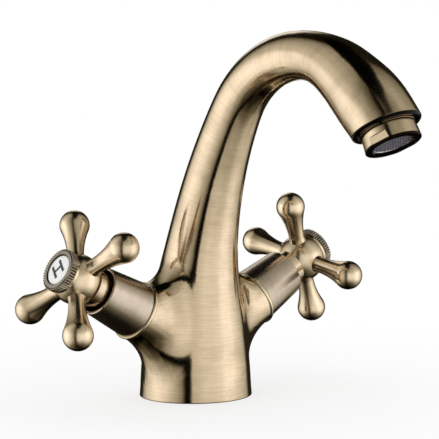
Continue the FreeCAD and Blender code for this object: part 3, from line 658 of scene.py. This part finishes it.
class TAP_OT_handle_finish(bpy.types.Operator):
    """Finishes the cross handles, sleeves, trim rings, index caps and index discs"""

    bl_idname = "tap.handle_finish"
    bl_label = "Handle finish"

    def execute(self, context):
        tap = context.scene.tap
        finishes = (
            # piece, colour, roughness, length of a brush mark, how strong the marks are, stretch
            # the handles' lighter brass is painted light
            ("handle", tap.lit_handle_brass, 0.21, 5 * MM, 0.08, 0.0),
            ("shroud", tap.sleeve, 0.26, 8 * MM, 0.09, 0.4),
            ("trim_ring", tap.trim, 0.14, 10 * MM, 0.04, 0.0),
            ("index_cap", tap.cap, 0.28, 3 * MM, 0.12, 0.0),
        )
        for side in SIDES:
            for piece, colour, roughness, around, grain, stretch in finishes:
                name = side + "_" + piece
                guide = turned_guide(side, around)
                metal = brushed_metal(name, colour, tap.tarnish_and_shade, roughness, guide, grain, stretch)
                dress([frame["nodes"][name]], metal)
            # index discs, with a painted shadow round their edge
            enamel = enamel_material(side, tuple(tap.enamel), tuple(tap.ink), tap.shadow_line_radius)
            dress([frame["nodes"][side + "_index_disc"]], enamel)
        return {"FINISHED"}


class TAP_OT_inner_finishes(bpy.types.Operator):
    """Finishes the pieces of the valves and of the aerator"""

    bl_idname = "tap.inner_finishes"
    bl_label = "Inner finishes"

    def execute(self, context):
        tap = context.scene.tap
        guide = level_guide(INNER_MARK_WIDTH, INNER_MARK_LENGTH)
        metals = (
            # name endings, metal, colour, tarnish and painted shade, roughness, how strong marks
            # are
            (("aerator_shell",), "aerator_brass", tap.brass, tap.tarnish_and_shade, 0.14, 0.05),
            (("cartridge", "spindle"), "raw_brass", (0.80, 0.60, 0.28), tap.tarnish_and_shade, 0.30, 0.10),
            (("clip", "screw"), "spring_steel", (0.55, 0.55, 0.56), (0.20, 0.20, 0.20), 0.30, 0.10),
        )
        for endings, name, colour, tarnish_and_shade, roughness, grain in metals:
            metal = brushed_metal(name, colour, tarnish_and_shade, roughness, guide, grain)
            # painted shade: dark band round the aerator's end
            if name == "aerator_brass":
                far = reach_along("aerator_shell", *outlet())[1]
                paint_end_shade(metal, far - AERATOR_BAND, tap.end_shade_colour)
            dress(nodes_named(*endings), metal)
        for name, (endings, first, second, roughness) in MOULDED.items():
            dress(nodes_named(*endings), plain_material(name, first, second, roughness))
        return {"FINISHED"}


# ---- modelling by operators ----------------------------------------------------------------
def deselect_all():
    """Leaves nothing selected, so that an operator works on its own piece alone."""
    for item in bpy.context.selected_objects:
        item.select_set(False)


def select_only(*pieces):
    """Selects these pieces, the first of them active."""
    deselect_all()
    for piece in pieces:
        piece.select_set(True)
    bpy.context.view_layer.objects.active = pieces[0]


def apply_place(piece):
    """Moves a piece's place into its mesh, so that its object sits at the origin."""
    select_only(piece)
    bpy.ops.object.transform_apply(location=True, rotation=True, scale=True)


def face_outwards(piece):
    """Turns a closed piece's faces outwards."""
    select_only(piece)
    bpy.ops.object.mode_set(mode="EDIT")
    bpy.ops.mesh.select_all(action="SELECT")
    bpy.ops.mesh.normals_make_consistent(inside=False)
    bpy.ops.object.mode_set(mode="OBJECT")


def finish_piece(piece, name, material, body):
    """Names a piece, gives it its material and slot and lets it ride on a body."""
    piece.name = name
    piece.data.name = name
    piece.data.materials.clear()
    piece.data.materials.append(material)
    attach(piece, body)


def valve_place(side, turn=0.0):
    """Place of a valve: Z out along its axis, Y up and origin in the middle of its handle."""
    axis, middle = valve_axis(side)
    across = Vector((0, axis.x, 0)).normalized()
    upright = turned_to(across, axis.cross(across), axis)
    return Matrix.Translation(middle) @ upright @ Matrix.Rotation(turn, 4, "Z")


class TAP_OT_index_letters(bpy.types.Operator):
    """Sets a raised letter on each white index disc"""

    bl_idname = "tap.index_letters"
    bl_label = "Index letters"

    def execute(self, context):
        tap = context.scene.tap
        shades = tuple(tap.ink), tuple(INK_SHADE * c for c in tap.ink)
        ink = plain_material("letter_enamel", *shades, roughness=0.25, scale=900.0)
        for side in SIDES:
            axis, middle = valve_axis(side)
            face = reach_along(side + "_index_disc", middle, axis)[1]
            deselect_all()
            bpy.ops.object.text_add()
            letter = context.object
            letter.data.body = INDEX_LETTERS[side]
            letter.data.size = tap.letter_height / CAPITAL_SHARE
            letter.data.align_x = "CENTER"
            letter.data.align_y = "CENTER"
            letter.data.extrude = tap.letter_thickness
            letter.data.offset = LETTER_BOLDNESS
            bpy.ops.object.convert(target="MESH")
            lift = Matrix.Translation((0, 0, face))
            letter.matrix_world = valve_place(side, tap.letter_turn) @ lift
            apply_place(letter)
            finish_piece(letter, side + "_index_letter", ink, side + "_handle")
        return {"FINISHED"}


class TAP_OT_cap_ridges(bpy.types.Operator):
    """Lays rounded ridges over the fine knurl of each index cap, along its axis"""

    bl_idname = "tap.cap_ridges"
    bl_label = "Cap ridges"

    def execute(self, context):
        tap = context.scene.tap
        for side in SIDES:
            axis, middle = valve_axis(side)
            low = reach_along(side + "_handle", middle, axis)[1]
            high = reach_along(side + "_index_cap", middle, axis)[1]
            length = high - low - 2 * RIDGE_MARGIN
            deselect_all()
            bpy.ops.mesh.primitive_cylinder_add(
                vertices=RIDGE_SIDES,
                radius=tap.ridge_radius,
                depth=length,
                location=(CAP_RADIUS - RIDGE_SINK, 0, (low + high) / 2),
            )
            ridge = context.object
            round_off = ridge.modifiers.new("round_off", "BEVEL")
            round_off.width = RIDGE_ROUND * tap.ridge_radius
            round_off.segments = 2
            bpy.ops.object.modifier_apply(modifier=round_off.name)
            apply_place(ridge)
            ridges = [ridge]
            for _ in range(1, tap.ridges):
                copy = ridge.copy()
                copy.data = ridge.data.copy()
                context.scene.collection.objects.link(copy)
                ridges.append(copy)
            for number, item in enumerate(ridges):
                item.matrix_world = valve_place(side, 2 * pi * number / tap.ridges)
            select_only(*ridges)
            bpy.ops.object.join()
            apply_place(ridge)
            metal = brushed_metal(
                side + "_ridges",
                tap.cap,
                tap.tarnish_and_shade,
                roughness=0.26,
                guide=turned_guide(side, RIDGE_MARK_LENGTH),
                grain=0.12,
            )
            name = side + "_index_cap_ridges"
            finish_piece(ridge, name, metal, side + "_handle")
        return {"FINISHED"}


class TAP_OT_outlet_gauze(bpy.types.Operator):
    """Puts a fine wire gauze with a bright rim in the outlet, in place of the plain honeycomb"""

    bl_idname = "tap.outlet_gauze"
    bl_label = "Outlet gauze"

    def execute(self, context):
        tap = context.scene.tap
        end, down = outlet()
        far = reach_along("aerator_screen", end, down)[1]
        across = Vector((1, 0, 0))
        level = turned_to(across, down.cross(across), down)
        place = Matrix.Translation(end + down * (far - tap.gauze_wire)) @ level
        squares = round(2 * GAUZE_RADIUS / tap.gauze_pitch)
        deselect_all()
        bpy.ops.mesh.primitive_grid_add(
            x_subdivisions=squares,
            y_subdivisions=squares,
            size=2 * GAUZE_RADIUS,
        )
        gauze = context.object
        self.trim_round(gauze)
        wires = gauze.modifiers.new("wires", "WIREFRAME")
        wires.thickness = tap.gauze_wire
        wires.use_even_offset = False
        bpy.ops.object.modifier_apply(modifier=wires.name)
        face_outwards(gauze)
        rim = self.pressed_rim()
        for piece in (gauze, rim):
            piece.matrix_world = place
            apply_place(piece)
        guide = level_guide(STEEL_MARK, STEEL_MARK)
        steels = (
            # metal, colour, tarnish and painted shade, roughness, how strong the marks are
            ("gauze_steel", (0.26, 0.25, 0.30), (0.14, 0.13, 0.15), 0.40, 0.20),
            ("gauze_rim_steel", (0.85, 0.85, 0.87), (0.45, 0.44, 0.42), 0.15, 0.05),
        )
        dark, bright = (
            brushed_metal(name, colour, tarnish_and_shade, roughness, guide, grain)
            for name, colour, tarnish_and_shade, roughness, grain in steels
        )
        finish_piece(gauze, "outlet_gauze", dark, "tap_body")
        finish_piece(rim, "outlet_gauze_rim", bright, "tap_body")
        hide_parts("aerator_screen")
        return {"FINISHED"}

    def trim_round(self, gauze):
        """Cuts the square gauze to a round one and waves its crossings in and out."""
        select_only(gauze)
        bpy.ops.object.mode_set(mode="EDIT")
        bpy.ops.mesh.select_mode(type="VERT")
        bpy.ops.mesh.select_all(action="DESELECT")
        bpy.ops.object.mode_set(mode="OBJECT")
        mesh = gauze.data
        row = round(len(mesh.vertices) ** 0.5)
        for vertex in mesh.vertices:
            vertex.co.z = GAUZE_WAVE * (1 if sum(divmod(vertex.index, row)) % 2 else -1)
            vertex.select = vertex.co.xy.length > GAUZE_RADIUS
        bpy.ops.object.mode_set(mode="EDIT")
        bpy.ops.mesh.delete(type="VERT")
        bpy.ops.object.mode_set(mode="OBJECT")

    def pressed_rim(self):
        """Ring of steel with well rounded edges, which holds the gauze."""
        deselect_all()
        bpy.ops.mesh.primitive_circle_add(
            vertices=RIM_SIDES,
            radius=RIM_INNER,
            location=(0, 0, -RIM_SINK),
        )
        rim = bpy.context.object
        apply_place(rim)
        wider = RIM_OUTER / RIM_INNER
        bpy.ops.object.mode_set(mode="EDIT")
        bpy.ops.mesh.select_all(action="SELECT")
        bpy.ops.mesh.extrude_region_move()
        bpy.ops.transform.resize(value=(wider, wider, 1))
        bpy.ops.object.mode_set(mode="OBJECT")
        plate = rim.modifiers.new("plate", "SOLIDIFY")
        plate.thickness = RIM_PLATE
        plate.offset = 0
        round_off = rim.modifiers.new("round_off", "BEVEL")
        round_off.width = RIM_ROUND
        round_off.segments = 4
        for modifier in (plate.name, round_off.name):
            bpy.ops.object.modifier_apply(modifier=modifier)
        face_outwards(rim)
        bpy.ops.object.shade_smooth_by_angle(angle=RIM_SMOOTH)
        return rim


# ---- stage ---------------------------------------------------------------------------------
def shown_share(tree):
    """1 for a ray that shows the background: from the camera, a reflection or through glass."""
    path = add_node(tree, "ShaderNodeLightPath")
    names = ("Is Camera Ray", "Is Glossy Ray", "Is Transmission Ray")
    camera, mirrored, through = (path.outputs[name] for name in names)
    return maths(tree, "MAXIMUM", maths(tree, "MAXIMUM", camera, mirrored), through)


class TAP_OT_stage(bpy.types.Operator):
    """Adds the camera, the pale floor and the light tent"""

    bl_idname = "tap.stage"
    bl_label = "Stage"

    def execute(self, context):
        self.add_camera(context.scene)
        self.add_floor()
        self.add_tent()
        world = bpy.data.worlds.new("studio")
        world.use_nodes = True
        world.node_tree.nodes["Background"].inputs["Color"].default_value = WHITE
        context.scene.world = world
        context.scene.view_settings.view_transform = "Standard"
        return {"FINISHED"}

    def add_camera(self, scene):
        """Camera in the place that the photograph was taken from."""
        right, up, back = camera_axes()
        place = Vector((0, 0, CAMERA_AIM_HEIGHT)) + CAMERA_ASIDE * right + CAMERA_LOWER * up
        place += CAMERA_DISTANCE * back
        camera = bpy.data.objects.new("camera", bpy.data.cameras.new("camera"))
        camera.data.lens = LENS
        camera.data.sensor_width = SENSOR
        camera.matrix_world = Matrix.Translation(place) @ turned_to(right, up, back)
        scene.collection.objects.link(camera)
        scene.camera = camera

    def add_floor(self):
        """Pale floor. Near the tap it is lit and keeps the shadow, and it fades into the white
        background further off. Metal mirrors the tent's lower half in its place, so that its
        undersides are as dark as they are in the photograph."""
        deselect_all()
        bpy.ops.mesh.primitive_plane_add(size=FLOOR_SIZE)
        floor = bpy.context.object
        floor.name = "floor"
        floor.visible_glossy = False
        material, tree, shader = new_material("pale_floor", Base_Color=FLOOR_COLOUR, Roughness=0.9)
        white = add_node(tree, "ShaderNodeEmission", {"Color": WHITE}).outputs[0]
        away = vector_maths(tree, "LENGTH", object_point(tree))
        faded = spread(tree, away, FLOOR_WHITE_NEAR, 1.0, FLOOR_FADE_FROM, FLOOR_FADE_TO)
        share = maths(tree, "MULTIPLY", shown_share(tree), faded)
        layers = {"Fac": share, 1: shader.outputs[0], 2: white}
        mixed = add_node(tree, "ShaderNodeMixShader", layers).outputs[0]
        tree.links.new(mixed, tree.nodes["Material Output"].inputs["Surface"])
        floor.data.materials.append(material)

    def add_tent(self):
        """Round tent of cloth that metal mirrors: brightest at its left and right, with a dark slit
        beside the camera that widens to a dark top. Matt surfaces get the white world's plain
        light, which passes through it."""
        deselect_all()
        bpy.ops.mesh.primitive_uv_sphere_add(
            segments=64,
            ring_count=32,
            radius=TENT_R,
            location=TENT_CENTRE,
        )
        tent = bpy.context.object
        tent.name = "light_tent"
        apply_place(tent)
        tent.visible_camera = False
        tent.visible_diffuse = False
        tent.visible_shadow = False
        material, tree, shader = new_material("tent_cloth")
        tree.nodes.remove(shader)
        level = self.cloth_level(tree)
        glow = {
            "Color": colour_ramp(tree, level, TENT_TINTS, "LINEAR"),
            "Strength": maths(tree, "MULTIPLY", level, TENT_PEAK),
        }
        cloth = add_node(tree, "ShaderNodeEmission", glow).outputs[0]
        tree.links.new(cloth, tree.nodes["Material Output"].inputs["Surface"])
        tent.data.materials.append(material)

    def cloth_level(self, tree):
        """Strength of the tent's cloth, as a share of TENT_PEAK."""
        place = vector_maths(tree, "SUBTRACT", object_point(tree), TENT_CENTRE)
        out = vector_maths(tree, "NORMALIZE", place)
        across = vector_maths(tree, "DOT_PRODUCT", out, tent_direction(90, 0))
        toward = vector_maths(tree, "DOT_PRODUCT", out, tent_direction(0, 0))
        turn = spread(tree, maths(tree, "ARCTAN2", across, toward), 0.0, 1.0, -pi, pi)
        height = maths(tree, "ARCSINE", vector_maths(tree, "DOT_PRODUCT", out, (0, 0, 1)))
        rise = spread(tree, height, 0.0, 1.0, -pi / 2, pi / 2)
        # The ramps run from -180 to 180 degrees round the tent and from -90 to 90 degrees up it.
        round_stops = [(angle / 360 + 0.5, (level / TENT_PEAK,) * 3) for angle, level in TENT_ROUND]
        height_stops = [(angle / 180 + 0.5, (level,) * 3) for angle, level in TENT_HEIGHT]
        level = maths(
            tree,
            "MULTIPLY",
            colour_ramp(tree, turn, round_stops, "LINEAR"),
            colour_ramp(tree, rise, height_stops),
        )
        level = maths(tree, "MULTIPLY", level, self.outside_open_top(tree, out))
        for window in WINDOWS:
            white = maths(tree, "DIVIDE", self.window_share(tree, out, window), TENT_PEAK)
            level = maths(tree, "MAXIMUM", level, white)
        return level

    def outside_open_top(self, tree, out):
        """0 in the tent's dark open top and 1 outside it."""
        apart = 0.0
        for way, middle, reach in zip((90, 0), OPEN_TOP_MIDDLE, OPEN_TOP_REACH):
            place = vector_maths(tree, "DOT_PRODUCT", out, tent_direction(way, 0))
            share = maths(tree, "DIVIDE", maths(tree, "SUBTRACT", place, middle), reach)
            apart = maths(tree, "MULTIPLY_ADD", share, share, apart)
        rise = vector_maths(tree, "DOT_PRODUCT", out, (0, 0, 1))
        below = maths(tree, "LESS_THAN", rise, 0.0)
        outside = spread(tree, apart, 0.0, 1.0, 1 - OPEN_TOP_SOFT, 1 + OPEN_TOP_SOFT)
        return maths(tree, "MAXIMUM", outside, below)

    def window_share(self, tree, out, window):
        """1 in a round window of the tent and 0 outside it."""
        angle, height, radius, soft = window
        nearness = vector_maths(tree, "DOT_PRODUCT", out, tent_direction(angle, height))
        apart = maths(tree, "ARCCOSINE", nearness)
        return spread(tree, apart, 1.0, 0.0, radians(radius - soft), radians(radius + soft))


class TAP_PT_panel(bpy.types.Panel):
    """Lists the tap's settings and operators"""

    bl_label = "Tap"
    bl_space_type = "VIEW_3D"
    bl_region_type = "UI"
    bl_category = "Tap"

    def draw(self, context):
        """Shows a field for each setting and a button for each operator."""
        for name in TapSettings.__annotations__:
            self.layout.prop(context.scene.tap, name)
        for operator in OPERATORS:
            self.layout.operator(operator.bl_idname)


OPERATORS = (
    TAP_OT_body_finish,
    TAP_OT_handle_finish,
    TAP_OT_inner_finishes,
    TAP_OT_index_letters,
    TAP_OT_cap_ridges,
    TAP_OT_outlet_gauze,
    TAP_OT_stage,
)
CLASSES = (TapSettings, *OPERATORS, TAP_PT_panel)


def register():
    """Makes the settings, the operators and the panel known."""
    for item in CLASSES:
        bpy.utils.register_class(item)
    bpy.types.Scene.tap = PointerProperty(type=TapSettings)


def unregister():
    """Takes them away again."""
    del bpy.types.Scene.tap
    for item in reversed(CLASSES):
        bpy.utils.unregister_class(item)


def main():
    """Makes every piece and finish in order."""
    register()
    bpy.ops.tap.body_finish()
    bpy.ops.tap.handle_finish()
    bpy.ops.tap.inner_finishes()
    bpy.ops.tap.index_letters()
    bpy.ops.tap.cap_ridges()
    bpy.ops.tap.outlet_gauze()
    bpy.ops.tap.stage()


if __name__ == "__main__":
    main()
